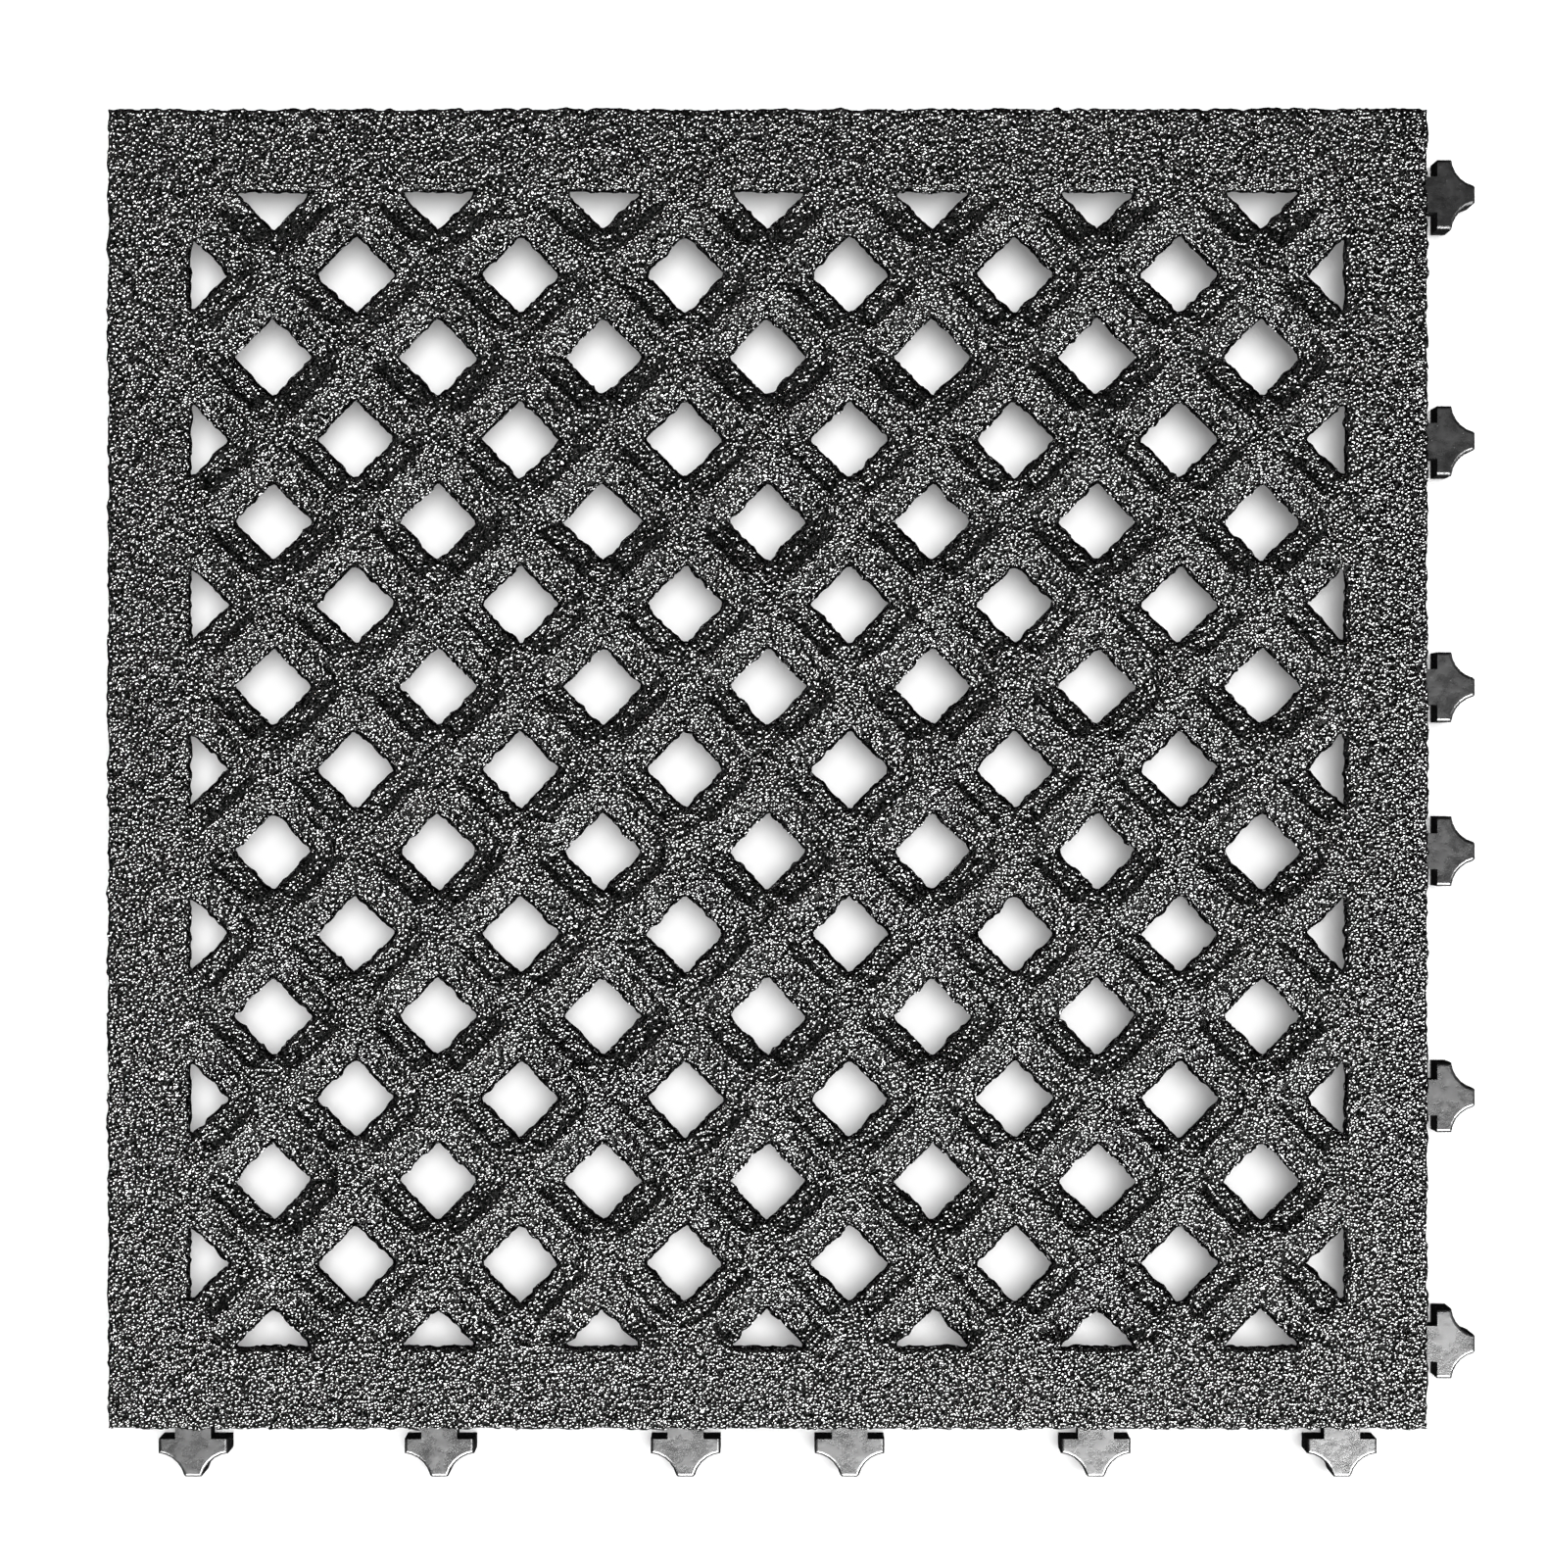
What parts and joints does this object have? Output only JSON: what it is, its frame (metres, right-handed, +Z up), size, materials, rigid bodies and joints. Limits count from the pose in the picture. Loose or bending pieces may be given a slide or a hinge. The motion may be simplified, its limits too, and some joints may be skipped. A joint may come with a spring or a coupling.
{
  "type": "interlocking floor mat tile",
  "caption": "Square drainage floor-mat tile with a diamond lattice, a grit-coated tread, arrow connectors on adjoining edges and matching sockets under the opposite edges.",
  "frame": {"origin": "on the floor under the centre of the tile, connectors left out", "axes": "+Z up out of the tread, +X towards the right edge with connectors, -Y towards the front edge with connectors"},
  "size_m": [0.475, 0.475, 0.0222],
  "materials": {
    "grit": "coarse black abrasive coat with glinting grains",
    "vinyl": "moulded black vinyl, matt",
    "smooth_vinyl": "moulded black vinyl, satin with fine scuffs"
  },
  "bodies": {
    "root": {"grit_coat": "grit", "lattice_deck": "vinyl", "support_grid": "vinyl", "border_frame": "vinyl", "connector_right_1": "smooth_vinyl", "connector_right_2": "smooth_vinyl", "connector_right_3": "smooth_vinyl", "connector_right_4": "smooth_vinyl", "connector_right_5": "smooth_vinyl", "connector_right_6": "smooth_vinyl", "connector_front_1": "smooth_vinyl", "connector_front_2": "smooth_vinyl", "connector_front_3": "smooth_vinyl", "connector_front_4": "smooth_vinyl", "connector_front_5": "smooth_vinyl", "connector_front_6": "smooth_vinyl", "socket_left_1": "vinyl", "socket_left_2": "vinyl", "socket_left_3": "vinyl", "socket_left_4": "vinyl", "socket_left_5": "vinyl", "socket_left_6": "vinyl", "socket_back_1": "vinyl", "socket_back_2": "vinyl", "socket_back_3": "vinyl", "socket_back_4": "vinyl", "socket_back_5": "vinyl", "socket_back_6": "vinyl"}
  },
  "joints": []
}
